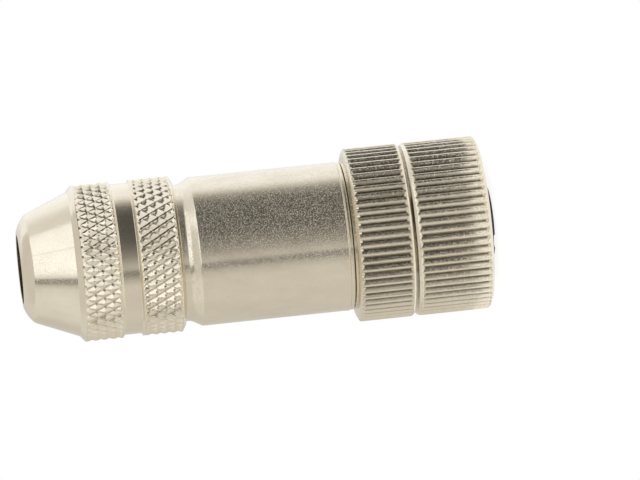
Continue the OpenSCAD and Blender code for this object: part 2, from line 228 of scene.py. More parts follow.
@dataclass(frozen=True)
class ThreadRidge:
    """The ridge of a right-hand metric thread on a round wall.

    Attributes:
        wall_r: Radius of the wall that the ridge stands on.
        crest_r: Radius of its crest.
        start_z: Height of the ridge where it starts, on +X.
        end_z: Height where it ends.
        pitch: Rise in a turn.
        steps_a_turn: Straight pieces in a turn.
        run_in: Turns over which the ridge grows at an end.
    """

    wall_r: float
    crest_r: float
    start_z: float
    end_z: float
    pitch: float = 1.0 * MM
    steps_a_turn: int = 72
    run_in: float = 0.35

    def mesh(self, name: str) -> Mesh:
        """Returns the ridge as one closed mesh with both ends run out."""
        outward = 1 if self.crest_r > self.wall_r else -1
        turns = (self.end_z - self.start_z) / self.pitch
        count = int(turns * self.steps_a_turn)
        sunk, height = 0.03 * MM, abs(self.crest_r - self.wall_r)
        base, crest = 0.43 * self.pitch, 0.07 * self.pitch
        flank = [(-sunk, base), (height * 0.96, crest)]
        section = [(rise, -across) for rise, across in flank] + [(height, 0.0)] + flank[::-1]
        points: list[tuple[float, float, float]] = []
        for i in range(count + 1):
            turn = i / self.steps_a_turn
            left = (count - i) / self.steps_a_turn
            grown = max(0.02, min(1.0, turn / self.run_in, left / self.run_in))
            for rise, across in section:
                radius = self.wall_r + outward * (rise * grown if rise > 0 else rise)
                z = self.start_z + turn * self.pitch + across * (0.4 + 0.6 * grown)
                points.append((radius * math.cos(turn * TURN), radius * math.sin(turn * TURN), z))
        width = len(section)
        faces = strip(count, width)
        faces += [list(range(width))[::-1], [count * width + k for k in range(width)]]
        if outward > 0:
            faces = [face[::-1] for face in faces]
        return skinned(name, np.array(points), faces, np.ones(len(points)), math.radians(30))


@dataclass(frozen=True)
class StraightKnurl:
    """V grooves along the axis with narrow rounded crests between them.

    Attributes:
        radius: Radius over the crests.
        seed: Seed of the small unevenness of its teeth.
        count: Grooves round the ring.
        depth: Depth of a groove.
        crest_part: Share of the pitch that a crest takes.
        dome: Share of the depth that a crest's edges lie lower than its middle.
        unevenness: Rough difference between the heights of two teeth.
        end_slope: Length over which a groove ends, for each unit of its depth.
        end_bevel: Length of the small bevel at both ends of the band.
    """

    radius: float
    seed: int
    count: int = 63
    depth: float = 0.31 * MM
    crest_part: float = 0.26
    dome: float = 0.08
    unevenness: float = 0.008 * MM
    end_slope: float = 0.95
    end_bevel: float = 0.03 * MM

    # Points across one pitch, from the bottom of a groove to the next
    PHASES = (
        0.0, 0.03, 0.08, 0.205, 0.32, 0.37, 0.41, 0.465,
        0.5, 0.535, 0.59, 0.63, 0.68, 0.795, 0.92, 0.97,
    )
    # Places of a band's rings, as shares of its length
    STATIONS = (0.0, 0.02, 0.35, 0.65, 0.98, 1.0)

    def angles(self) -> np.ndarray:
        """Returns the angles of a ring whose points lie on the knurl's edges."""
        step = TURN / self.count
        return (np.arange(self.count)[:, None] + np.array(self.PHASES)[None, :]).ravel() * step

    def relief(self) -> np.ndarray:
        """Returns how far each point of a ring stands out of the grooves, from 0 to 1."""
        phase = np.minimum(self.PHASES, 1 - np.array(self.PHASES))
        edge = (1 - self.crest_part) / 2
        flank = (1 - self.dome) * np.clip(phase / edge, 0, 1)
        flank += 0.06 * np.clip(1 - phase / 0.08, 0, 1) ** 2
        crest = self.dome * (1 - np.clip((0.5 - phase) / (0.5 - edge), 0, 1) ** 2)
        return np.tile(flank + crest, self.count)

    def radii(self, relief: np.ndarray) -> np.ndarray:
        """Returns the radius at each point of a ring, with the small unevenness of rolled teeth."""
        rng = np.random.default_rng(self.seed)
        worn = np.abs(rng.normal(0.0, self.unevenness, self.count)).repeat(len(self.PHASES))
        return self.radius - self.depth * (1 - relief) - worn * relief

    def band(self, lathe: Lathe, front_tip: float, rear_tip: float) -> None:
        """Adds the rings of the knurled band.

        Args:
            lathe: The skin that the rings go to.
            front_tip: Height at which the crests start.
            rear_tip: Height at which they end.
        """
        relief = self.relief()
        tooth = self.radii(relief)
        run_out = self.end_slope * (self.radius - tooth)
        front, rear = front_tip + run_out, rear_tip - run_out
        lathe.ring(tooth - 0.01 * MM, front - self.end_bevel)
        for share in self.STATIONS:
            inset = self.end_bevel * (0.5 - share) * 2
            lathe.ring(tooth, (front + inset) * (1 - share) + (rear + inset) * share, relief)
        lathe.ring(tooth - 0.01 * MM, rear + self.end_bevel)


@dataclass(frozen=True)
class DiamondKnurl:
    """Two families of helical V grooves that cross in diamonds and run out at both ends of a band.

    Attributes:
        radius: Radius over the peaks.
        depth: Depth of the grooves that rise against the angle.
        other_depth: Depth of the grooves that rise with it.
        count: Grooves each way round.
        land: Share of the pitch that stays flat between grooves.
        lean: Helix angle of the grooves from the axis.
        run_out: Length over which the grooves fade at an end.
        bottom: Share of its depth at which a groove's bottom is flat.
        steps: Points across one pitch.
    """

    radius: float
    depth: float = 0.31 * MM
    other_depth: float = 0.27 * MM
    count: int = 49
    land: float = 0.13
    lean: float = math.radians(30)
    run_out: float = 0.22 * MM
    bottom: float = 0.94
    steps: int = 14

    def angles(self) -> np.ndarray:
        """Returns the angles of a ring with the same number of points in each pitch."""
        return np.linspace(0, TURN, self.count * self.steps, endpoint=False)

    def band(self, lathe: Lathe, start_z: float, end_z: float) -> None:
        """Adds the rings of one knurled band.

        Args:
            lathe: The skin that the rings go to.
            start_z: Height of the first ring.
            end_z: Height of the last ring.
        """
        axial_pitch = TURN * self.radius / self.count / math.tan(self.lean)
        rows = int(round((end_z - start_z) / axial_pitch * self.steps))
        around = np.arange(self.count * self.steps) / self.steps
        half = (1 - self.land) / 2
        for k in range(rows + 1):
            along = k / self.steps
            z = start_z + (end_z - start_z) * k / rows
            share = min(1.0, max(0.02, min(z - start_z, end_z - z) / self.run_out))
            falling = np.abs((around + along + 0.5) % 1 - 0.5)
            rising = np.abs((around - along + 0.5) % 1 - 0.5)
            deep = np.clip(1 - falling / half, 0, self.bottom)
            other = np.clip(1 - rising / half, 0, self.bottom)
            cut = share * np.maximum(self.depth * deep, self.other_depth * other)
            far = np.abs((around + along + 1 / self.steps) % 1 - 0.5)
            bend = far < np.abs((around - along) % 1 - 0.5) if k < rows else None
            # The relief here is low only in the pits where both grooves are deep, which is where the finish
            # paints shade
            lathe.ring(self.radius - cut, z, 1 - share * np.minimum(deep, other), bend)


# ---------- finishes ----------


class Board:
    """The nodes of one material, in object coordinates, which are metres in the model's frame."""

    def __init__(self, name: str) -> None:
        """Starts a material with its shader and output."""
        self.material = bpy.data.materials.new(name)
        self.material.use_nodes = True
        self.tree = self.material.node_tree
        self.shader = self.tree.nodes["Principled BSDF"]

    def node(self, kind: str, **settings: object) -> bpy.types.Node:
        """Adds a node with the given settings."""
        node = self.tree.nodes.new(kind)
        for name, value in settings.items():
            setattr(node, name, value)
        return node

    def join(self, source: Source, target: Socket) -> None:
        """Links a socket to a target, or sets the target to a value."""
        if isinstance(source, Socket):
            self.tree.links.new(source, target)
        else:
            target.default_value = source

    def noise(
        self, size: float, detail: float = 2.0, stretch: Sequence[float] = (1, 1, 1), shift: float = 0.0
    ) -> Socket:
        """Adds a noise pattern.

        Args:
            size: Rough size of its patches.
            detail: Number of finer layers.
            stretch: How much longer the patches are along X, Y and Z.
            shift: Moves the pattern, so that two of a size differ.

        Returns:
            The pattern's value, about 0.5 in the middle.
        """
        mapping = self.node("ShaderNodeMapping")
        mapping.inputs["Location"].default_value = (shift, shift, shift)
        mapping.inputs["Scale"].default_value = [1 / (size * s) for s in stretch]
        self.join(self.node("ShaderNodeTexCoord").outputs["Object"], mapping.inputs["Vector"])
        noise = self.node("ShaderNodeTexNoise")
        self.join(mapping.outputs["Vector"], noise.inputs["Vector"])
        noise.inputs["Scale"].default_value = 1.0
        noise.inputs["Detail"].default_value = detail
        return noise.outputs["Fac"]

    def spread(
        self, value: Socket, low: float, high: float, to_low: float = 0.0, to_high: float = 1.0
    ) -> Socket:
        """Maps the range low to high onto another range, and clamps it there."""
        node = self.node("ShaderNodeMapRange")
        for name, number in (("From Min", low), ("From Max", high), ("To Min", to_low), ("To Max", to_high)):
            node.inputs[name].default_value = number
        self.join(value, node.inputs["Value"])
        return node.outputs["Result"]

    def fed(self, kind: str, *sources: Source, **settings: object) -> Socket:
        """Adds a node, feeds its first inputs and returns its first output."""
        node = self.node(kind, **settings)
        for source, target in zip(sources, node.inputs):
            self.join(source, target)
        return node.outputs[0]

    def sum(self, a: Socket, b: Source) -> Socket:
        """Adds two values."""
        return self.fed("ShaderNodeMath", a, b, operation="ADD")

    def product(self, a: Socket, b: Source) -> Socket:
        """Multiplies two values."""
        return self.fed("ShaderNodeMath", a, b, operation="MULTIPLY")

    def blend(self, share: Socket, a: Socket | Colour, b: Socket | Colour) -> Socket:
        """Mixes colour a with colour b by a share from 0 to 1."""
        node = self.node("ShaderNodeMix", data_type="RGBA")
        self.join(share, node.inputs[0])
        for source, socket in ((a, node.inputs[6]), (b, node.inputs[7])):
            self.join(source if isinstance(source, Socket) else (*source, 1.0), socket)
        return node.outputs[2]

    def bump(self, height: Socket, depth: float, under: Socket | None = None) -> Socket:
        """Raises the surface by a pattern.

        Args:
            height: The pattern.
            depth: Height of the pattern where it is 1.
            under: A bump that this one lies on.

        Returns:
            The bent normal.
        """
        node = self.node("ShaderNodeBump")
        node.inputs["Distance"].default_value = depth
        self.join(height, node.inputs["Height"])
        if under is not None:
            self.join(under, node.inputs["Normal"])
        return node.outputs["Normal"]

    def relief(self) -> Socket:
        """Reads how far a point stands out of its grooves, from 0 to 1."""
        return self.node("ShaderNodeAttribute", attribute_name="relief").outputs["Fac"]

    def set(self, name: str, source: Source) -> None:
        """Sets or links an input of the shader."""
        self.join(source, self.shader.inputs[name])

    def stage(self, surface: Socket) -> bpy.types.Material:
        """Returns a material for the stage that has the given shader in place of the usual one."""
        self.tree.nodes.remove(self.shader)
        self.join(surface, self.tree.nodes["Material Output"].inputs["Surface"])
        self.material.cycles.emission_sampling = "NONE"
        return self.material


@dataclass(frozen=True)
class Nickel:
    """Nickel plate on turned brass: warm, satin, finely grained, with faint turning marks, and with painted
    shade in the grooves of knurls.

    Attributes:
        slot: The material slot that it stands for.
        bright: Colour of clean plate.
        dull: Colour of handled plate.
        smooth: Roughness of clean plate.
        handled: Roughness of handled plate.
        grain: Size of the plate's grain.
        grain_depth: Height of the grain.
        turning: Depth of the turning marks.
        paints_groove_shade: True on knurls, whose grooves get a painted shade.
        shade_from: Relief below which a groove's painted shade is full.
        shade_to: Relief above which there is no painted shade at all.
        ragged_shade: Least share of the painted shade's colour that a groove shows.
        painted_groove_shade: Colour of the painted shade in the grooves.
    """

    slot: str
    bright: Colour = (0.865, 0.79, 0.64)
    dull: Colour = (0.81, 0.735, 0.59)
    smooth: float = 0.08
    handled: float = 0.12
    grain: float = 0.09 * MM
    grain_depth: float = 0.008 * MM
    turning: float = 0.0006 * MM
    paints_groove_shade: bool = False
    shade_from: float = 0.10
    shade_to: float = 0.60
    ragged_shade: float = 0.70
    # Colour of the painted shade that stands in for the shadow and dark reflections in knurl grooves
    painted_groove_shade: Colour = (0.17, 0.145, 0.098)

    def material(self) -> bpy.types.Material:
        """Returns the finish as a node material."""
        board = Board(self.slot)
        smudge = board.spread(board.noise(2.6 * MM, 3, (1, 1, 1.8)), 0.36, 0.68)
        grain = board.noise(self.grain, 2)
        speck = board.spread(grain, 0.56, 0.70)
        rings = board.noise(0.35 * MM, 3, (90, 90, 1), 0.4)
        colour = board.blend(smudge, self.bright, self.dull)
        dark = tuple(0.62 * c for c in self.dull)
        colour = board.blend(board.product(speck, 0.10), colour, dark)
        roughness = board.spread(smudge, 0, 1, self.smooth, self.handled)
        roughness = board.sum(roughness, board.product(speck, 0.08))
        # Painted shade: a knurl's grooves are darkened in colour, broken up by noise, where shade and dark
        # reflections between their walls fall
        if self.paints_groove_shade:
            ragged_shade = board.spread(board.noise(0.14 * MM, 3, (1, 1, 5), 0.7), 0.30, 0.62, self.ragged_shade, 1.0)
            deep = board.spread(board.relief(), self.shade_from, self.shade_to, 1.0, 0.0)
            colour = board.blend(board.product(deep, ragged_shade), colour, self.painted_groove_shade)
            roughness = board.sum(roughness, board.product(deep, 0.10))
        board.set("Base Color", colour)
        board.set("Metallic", 1.0)
        board.set("Roughness", roughness)
        marks = board.bump(rings, self.turning)
        board.set("Normal", board.bump(speck, self.grain_depth, marks))
        return board.material


@dataclass(frozen=True)
class Steel:
    """Plain or plated steel with drawn marks along one way.

    Attributes:
        slot: The material slot that it stands for.
        bright: Colour of the clean metal.
        dull: Colour where it is oiled or rubbed.
        rough: Middle of its roughness.
        drawn: How much longer its marks are along X, Y and Z.
    """

    slot: str
    bright: Colour
    dull: Colour
    rough: float = 0.32
    drawn: tuple[float, float, float] = (12, 12, 1)

    def material(self) -> bpy.types.Material:
        """Returns the finish as a node material."""
        board = Board(self.slot)
        patches = board.spread(board.noise(1.1 * MM, 3), 0.35, 0.65)
        marks = board.noise(0.08 * MM, 3, self.drawn)
        board.set("Base Color", board.blend(patches, self.bright, self.dull))
        board.set("Metallic", 1.0)
        board.set("Roughness", board.spread(marks, 0.3, 0.7, self.rough - 0.08, self.rough + 0.12))
        board.set("Normal", board.bump(marks, 0.002 * MM))
        return board.material


@dataclass(frozen=True)
class Plastic:
    """Moulded plastic with a fine matt grain and pale rubbed patches.

    Attributes:
        slot: The material slot that it stands for.
        colour: Colour of the plastic.
        rubbed: Colour where it is rubbed.
        rough: Middle of its roughness.
        grain: Size of the moulded grain.
        grain_depth: Height of that grain.
    """

    slot: str
    colour: Colour
    rubbed: Colour
    rough: float = 0.48
    grain: float = 0.09 * MM
    grain_depth: float = 0.006 * MM

    def material(self) -> bpy.types.Material:
        """Returns the finish as a node material."""
        board = Board(self.slot)
        patches = board.spread(board.noise(1.6 * MM, 4), 0.42, 0.68)
        grain = board.noise(self.grain, 2)
        board.set("Base Color", board.blend(patches, self.colour, self.rubbed))
        board.set("Roughness", board.spread(patches, 0, 1, self.rough - 0.06, self.rough + 0.08))
        board.set("Normal", board.bump(grain, self.grain_depth))
        return board.material


@dataclass(frozen=True)
class Rubber:
    """Soft sealing rubber with a faint pale bloom.

    Attributes:
        slot: The material slot that it stands for.
        colour: Colour of the rubber.
        bloom: Colour of the bloom on it.
    """

    slot: str
    colour: Colour
    bloom: Colour

    def material(self) -> bpy.types.Material:
        """Returns the finish as a node material."""
        board = Board(self.slot)
        cloud = board.spread(board.noise(0.9 * MM, 5), 0.45, 0.75)
        dust = board.noise(0.05 * MM, 2)
        board.set("Base Color", board.blend(cloud, self.colour, self.bloom))
        board.set("Roughness", board.spread(cloud, 0, 1, 0.52, 0.74))
        board.set("Specular IOR Level", 0.35)
        board.set("Normal", board.bump(dust, 0.003 * MM))
        return board.material


FINISHES = (
    # The knurled finishes paint shade into their grooves; the gland's is paler and sits only in the pits of
    # its diamonds
    Nickel("knurled_nickel", grain=0.13 * MM, grain_depth=0.012 * MM, paints_groove_shade=True),
    Nickel("sleeve_nickel", grain_depth=0.012 * MM),
    Nickel("gland_nickel", smooth=0.05, handled=0.08, grain_depth=0.004 * MM, paints_groove_shade=True,
           shade_from=0.06, shade_to=0.23, painted_groove_shade=(0.26, 0.228, 0.165)),
    Nickel("shield_nickel", smooth=0.22, handled=0.32),
    Steel("washer_steel", (0.66, 0.66, 0.65), (0.50, 0.50, 0.49)),
    Steel("spring_steel", (0.34, 0.34, 0.35), (0.20, 0.20, 0.21), 0.40),
    Steel("screw_steel", (0.78, 0.76, 0.72), (0.60, 0.58, 0.54), 0.28, (6, 6, 6)),
    Steel("contact_gold", (1.0, 0.78, 0.36), (0.86, 0.62, 0.26), 0.24),
    Plastic("insert_plastic", (0.020, 0.024, 0.028), (0.036, 0.042, 0.048)),
    Plastic("cage_plastic", (0.030, 0.031, 0.032), (0.050, 0.051, 0.052), 0.42),
    Rubber("seal_rubber", (0.014, 0.014, 0.014), (0.040, 0.040, 0.040)),
    Rubber("bush_rubber", (0.020, 0.020, 0.021), (0.052, 0.052, 0.054)),
)


class Dresser:
    """Hands out finishes and sets up pieces."""

    def __init__(self) -> None:
        """Makes every finish once."""
        self.materials = {finish.slot: finish.material() for finish in FINISHES}

    def piece(self, mesh: Mesh, slot: str, body: Body, *replaced: str) -> bpy.types.Object:
        """Puts a new piece in the scene.

        Args:
            mesh: Its mesh, whose name it takes.
            slot: The material slot that it takes its finish from.
            body: The body that it rides on.
            replaced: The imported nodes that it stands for.

        Returns:
            The piece.
        """
        piece = placed(mesh.name, mesh)
        mesh.materials.append(self.materials[slot])
        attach(piece, body.value)
        if replaced:
            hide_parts(*replaced)
        log.info("%s: %d faces in %s on %s", mesh.name, len(mesh.polygons), slot, body.value)
        return piece

    def carry_over(self, dressed: set[str]) -> None:
        """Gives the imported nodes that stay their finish.

        Args:
            dressed: The nodes that pieces stand for.
        """
        for part in frame["record"]["subparts"]:
            if part["node"] in dressed:
                continue
            node = frame["nodes"][part["node"]]
            node.data.materials.clear()
            node.data.materials.append(self.materials[part["material_slot"]])
            log.info("%s: kept in %s", part["node"], part["material_slot"])


# ---------- assemblies ----------


@dataclass(frozen=True)
class CouplingNut:
    """The knurled nut that screws on the mating connector."""

    reach: Reach
    face_drop: float = 0.85 * MM
    face_rise: float = 0.60 * MM
    rear_drop: float = 0.27 * MM
    rear_rise: float = 0.42 * MM
    mouth_r: float = 6.35 * MM
    mouth_depth: float = 0.35 * MM
    thread_major_r: float = 6.00 * MM
    thread_minor_r: float = 5.46 * MM
    thread_len: float = 5.3 * MM
    relief_r: float = 6.10 * MM
    flange_r: float = 5.12 * MM
    flange_t: float = 0.80 * MM

    def shell(self) -> Mesh:
        """Returns the nut's shell, without its thread."""
        low, high, radius = self.reach.low, self.reach.high, self.reach.radius
        knurl = StraightKnurl(radius, seed=12)
        lathe = Lathe(knurl.angles())
        face_r, rear_r = radius - self.face_drop, radius - self.rear_drop
        lathe.ring(face_r - 0.35 * MM, low + 0.02 * MM)
        lathe.ring(face_r - 0.08 * MM, low + 0.01 * MM)
        for share in (0.04, 0.3, 0.55, 0.75):
            turn = share * math.pi / 2
            lathe.ring(face_r + self.face_drop * math.sin(turn), low + self.face_rise * (1 - math.cos(turn)))
        knurl.band(lathe, low + self.face_rise - 0.18 * MM, high - self.rear_rise)
        lathe.ring(radius - 0.02 * MM, high - self.rear_rise + 0.06 * MM)
        lathe.ring(radius - 0.10 * MM, high - self.rear_rise + 0.22 * MM)
        lathe.profile([
            (rear_r + 0.01 * MM, high, 0),
            (rear_r - 0.05 * MM, high, 0),
            (self.flange_r, high, 0.08 * MM),
            (self.flange_r, high - self.flange_t, 0.08 * MM),
            (self.relief_r, high - self.flange_t, 0.15 * MM),
            (self.relief_r, low + self.thread_len + 0.5 * MM, 0.1 * MM),
            (self.thread_major_r, low + self.thread_len + 0.3 * MM, 0.05 * MM),
            (self.thread_major_r, low + self.mouth_depth, 0.05 * MM),
            (self.mouth_r, low, 0.06 * MM),
            (face_r - 0.6 * MM, low, 0),
        ])
        return lathe.mesh("coupling_nut_shell", math.radians(20))

    def thread(self) -> Mesh:
        """Returns the ridge of the coupling thread."""
        start = self.reach.low + self.mouth_depth + 0.3 * MM
        end = start + self.thread_len - 0.8 * MM
        return ThreadRidge(self.thread_major_r, self.thread_minor_r, start, end).mesh("coupling_thread")

    def build(self, dresser: Dresser) -> None:
        """Puts the nut in the scene."""
        dresser.piece(self.shell(), "knurled_nickel", Body.NUT, "coupling_nut")
        dresser.piece(self.thread(), "knurled_nickel", Body.NUT)


@dataclass(frozen=True)
class HeadRing:
    """The knurled ring of the contact head, with the neck in front and the threaded spigot behind."""

    reach: Reach
    ring_low: float
    ring_len: float = 6.8 * MM
    front_drop: float = 0.26 * MM
    front_rise: float = 0.35 * MM
    rear_rise: float = 0.65 * MM
    rear_drop: float = 1.15 * MM
    rear_gap: float = 0.24 * MM
    rim_w: float = 0.45 * MM
    lip_r: float = 8.50 * MM
    lip_t: float = 0.10 * MM
    neck_r: float = 5.05 * MM
    neck_bore_r: float = 4.45 * MM
    clip_low: float = 8.10 * MM
    clip_high: float = 8.75 * MM
    clip_groove_r: float = 4.78 * MM
    floor_z: float = 11.40 * MM
    block_bore_r: float = 6.05 * MM
    thread_minor_r: float = 6.587 * MM
    thread_major_r: float = 7.20 * MM

    def shell(self) -> Mesh:
        """Returns the ring's shell, without its thread."""
        low, high, radius = self.ring_low, self.ring_low + self.ring_len, self.reach.radius
        end = high - self.rear_gap
        knurl = StraightKnurl(radius, seed=21)
        lathe = Lathe(knurl.angles())
        lathe.profile([
            (self.neck_bore_r, self.reach.low + 0.15 * MM, 0),
            (self.neck_bore_r + 0.12 * MM, self.reach.low, 0.05 * MM),
            (self.neck_r, self.reach.low, 0.08 * MM),
            (self.neck_r, self.clip_low, 0.03 * MM),
            (self.clip_groove_r, self.clip_low, 0.03 * MM),
            (self.clip_groove_r, self.clip_high, 0.03 * MM),
            (self.neck_r, self.clip_high, 0.03 * MM),
            (self.neck_r, low, 0.10 * MM),
            (radius - self.front_drop - 0.05 * MM, low, 0),
        ])
        lathe.ring(radius - self.front_drop, low + 0.01 * MM)
        lathe.ring(radius - 0.09 * MM, low + self.front_rise - 0.18 * MM)
        lathe.ring(radius - 0.02 * MM, low + self.front_rise - 0.05 * MM)
        knurl.band(lathe, low + self.front_rise, end - self.rear_rise + 0.28 * MM)
        for share in (0.62, 0.45, 0.28, 0.12, 0.03):
            turn = share * math.pi / 2
            fall = self.rear_drop * (1 - math.sin(turn))
            lathe.ring(radius - fall, end - self.rear_rise * (1 - math.cos(turn)))
        back_r = radius - self.rear_drop
        lathe.profile([
            (back_r - 0.02 * MM, end, 0),
            (back_r - self.rim_w, end, 0.03 * MM),
            (back_r - self.rim_w, high - self.lip_t, 0.03 * MM),
            (self.lip_r, high - self.lip_t, 0.02 * MM),
            (self.lip_r, high, 0.02 * MM),
            (self.thread_minor_r, high, 0.1 * MM),
            (self.thread_minor_r, self.reach.high - 0.5 * MM, 0.05 * MM),
            (self.block_bore_r + 0.25 * MM, self.reach.high, 0.06 * MM),
            (self.block_bore_r, self.reach.high, 0.08 * MM),
            (self.block_bore_r, self.floor_z, 0.1 * MM),
            (self.neck_bore_r, self.floor_z, 0.05 * MM),
            (self.neck_bore_r, self.reach.low + 1.0 * MM, 0),
        ])
        return lathe.mesh("head_ring_shell", math.radians(20))

    def thread(self) -> Mesh:
        """Returns the ridge of the spigot's thread."""
        start = self.ring_low + self.ring_len + 1.9 * MM
        ridge = ThreadRidge(self.thread_minor_r, self.thread_major_r, start, self.reach.high - 0.3 * MM)
        return ridge.mesh("spigot_thread")

    def build(self, dresser: Dresser) -> None:
        """Puts the ring in the scene."""
        dresser.piece(self.shell(), "knurled_nickel", Body.HEAD, "head_ring")
        dresser.piece(self.thread(), "knurled_nickel", Body.HEAD)


@dataclass(frozen=True)
class Sleeve:
    """The smooth sleeve over the terminals, with its rear neck and threaded tail."""

    reach: Reach
    plain_len: float = 17.5 * MM
    taper_len: float = 1.1 * MM
    neck_r: float = 7.88 * MM
    neck_len: float = 0.86 * MM
    thread_minor_r: float = 6.837 * MM
    thread_major_r: float = 7.45 * MM
    bore_r: float = 6.00 * MM
    lip_r: float = 4.50 * MM
    lip_low: float = 33.3 * MM
    lip_high: float = 34.3 * MM
    chamber_r: float = 7.40 * MM
    front_thread_high: float = 22.6 * MM
    front_major_r: float = 7.25 * MM
    front_minor_r: float = 7.02 * MM
    counterbore_r: float = 7.825 * MM
    counterbore_len: float = 1.5 * MM

    def shell(self) -> Mesh:
        """Returns the sleeve's shell, without its threads."""
        low, high, radius = self.reach.low, self.reach.high, self.reach.radius
        plain_high = low + self.plain_len
        neck_low = plain_high + self.taper_len
        neck_high = neck_low + self.neck_len
        lathe = Lathe.plain(288)
        lathe.profile([
            (self.counterbore_r + 0.2 * MM, low, 0),
            (radius - 0.16 * MM, low, 0.03 * MM),
            (radius - 0.05 * MM, low + 0.10 * MM, 0.05 * MM),
            (radius - 0.06 * MM, low + 0.42 * MM, 0.08 * MM),
            (radius + 0.03 * MM, low + 0.55 * MM, 0.08 * MM),
            (radius, low + 0.90 * MM, 0.15 * MM),
            (radius, plain_high, 0.10 * MM),
            (self.neck_r, neck_low + 0.10 * MM, 0.55 * MM),
            (self.neck_r - 0.02 * MM, neck_high, 0.03 * MM),
            (self.thread_minor_r, neck_high, 0.10 * MM),
            (self.thread_minor_r, high - 0.5 * MM, 0.05 * MM),
            (self.bore_r + 0.25 * MM, high, 0.06 * MM),
            (self.bore_r, high, 0.08 * MM),
            (self.bore_r, self.lip_high, 0.08 * MM),
            (self.lip_r, self.lip_high, 0.08 * MM),
            (self.lip_r, self.lip_low, 0.08 * MM),
            (self.chamber_r, self.lip_low, 0.15 * MM),
            (self.chamber_r, self.front_thread_high + 0.3 * MM, 0.05 * MM),
            (self.front_major_r, self.front_thread_high, 0.05 * MM),
            (self.front_major_r, low + self.counterbore_len + 0.3 * MM, 0.05 * MM),
            (self.counterbore_r, low + self.counterbore_len, 0.05 * MM),
            (self.counterbore_r, low + 0.1 * MM, 0),
        ])
        return lathe.mesh("sleeve_shell")

    def front_thread(self) -> Mesh:
        """Returns the ridge that meets the head's spigot, half a pitch from its thread."""
        start = self.reach.low + 2.3 * MM
        ridge = ThreadRidge(self.front_major_r, self.front_minor_r, start, self.front_thread_high - 0.3 * MM)
        return ridge.mesh("sleeve_thread")

    def tail_thread(self) -> Mesh:
        """Returns the ridge that the pressure nut turns on."""
        start = self.reach.high - 6.4 * MM
        ridge = ThreadRidge(self.thread_minor_r, self.thread_major_r, start, self.reach.high - 0.5 * MM)
        return ridge.mesh("tail_thread")

    def build(self, dresser: Dresser) -> None:
        """Puts the sleeve in the scene."""
        dresser.piece(self.shell(), "sleeve_nickel", Body.SLEEVE, "sleeve")
        dresser.piece(self.front_thread(), "sleeve_nickel", Body.SLEEVE)
        dresser.piece(self.tail_thread(), "sleeve_nickel", Body.SLEEVE)


